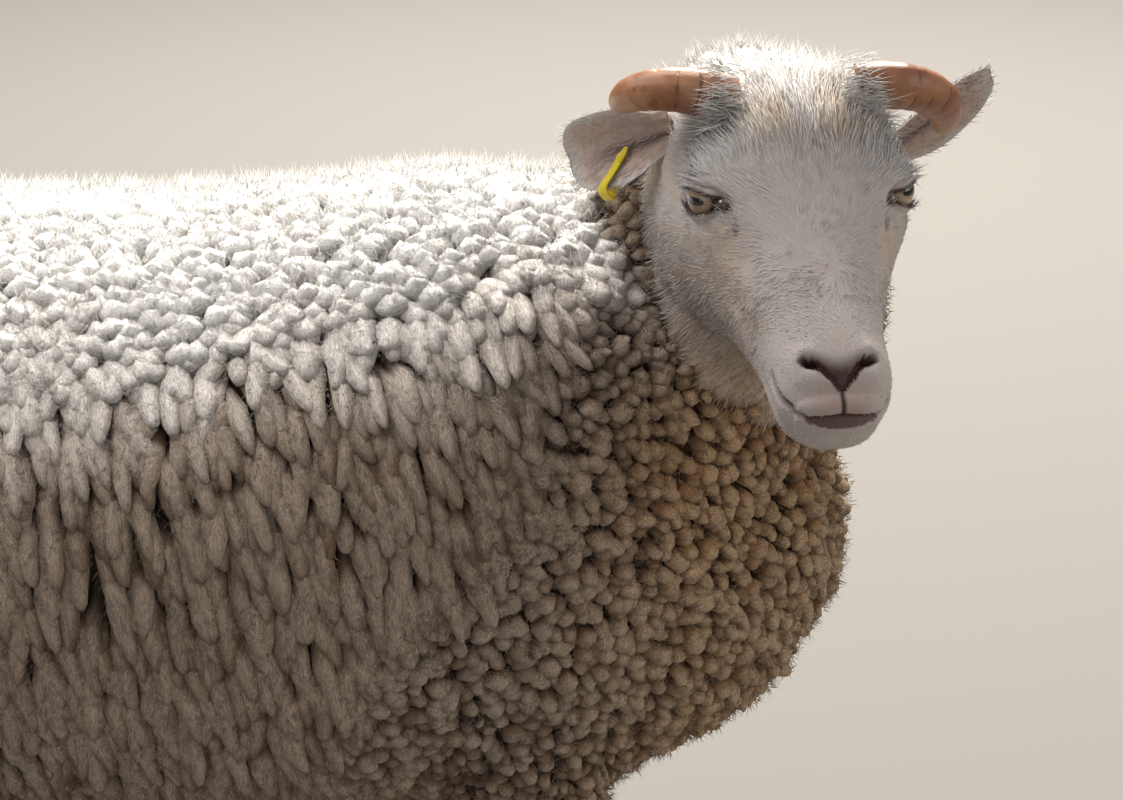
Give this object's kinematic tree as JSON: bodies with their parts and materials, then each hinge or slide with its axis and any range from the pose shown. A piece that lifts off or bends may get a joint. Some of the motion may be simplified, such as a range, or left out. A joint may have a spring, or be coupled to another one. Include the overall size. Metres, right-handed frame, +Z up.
{
  "type": "sheep",
  "caption": "Life-size still model of a small horned ewe in full fleece, standing square with the head turned to its right side",
  "frame": {"origin": "on the ground under the middle of the whole animal's bounding box", "axes": "+Z up, +X the way the body faces, +Y the animal's left side; the head is turned towards -Y"},
  "size_m": [0.983, 0.4872, 0.7525],
  "materials": {
    "fleece": "matte",
    "short_hair": "matte",
    "eye": "glossy",
    "horn": "satin",
    "hoof": "matte",
    "tag": "matte"
  },
  "bodies": {
    "root": {"trunk": "fleece", "neck": "fleece", "tail": "fleece", "foreleg_left_upper": "fleece", "foreleg_right_upper": "fleece", "hindleg_left_upper": "fleece", "hindleg_right_upper": "fleece", "head": "short_hair", "foreleg_left_lower": "short_hair", "foreleg_right_lower": "short_hair", "hindleg_left_lower": "short_hair", "hindleg_right_lower": "short_hair", "ear_left": "short_hair", "ear_right": "short_hair", "eye_left": "eye", "eye_right": "eye", "horn_left": "horn", "horn_right": "horn", "hoof_foreleg_left_outer": "hoof", "hoof_foreleg_left_inner": "hoof", "hoof_foreleg_right_outer": "hoof", "hoof_foreleg_right_inner": "hoof", "hoof_hindleg_left_outer": "hoof", "hoof_hindleg_left_inner": "hoof", "hoof_hindleg_right_outer": "hoof", "hoof_hindleg_right_inner": "hoof", "ear_tag": "tag"}
  },
  "joints": []
}
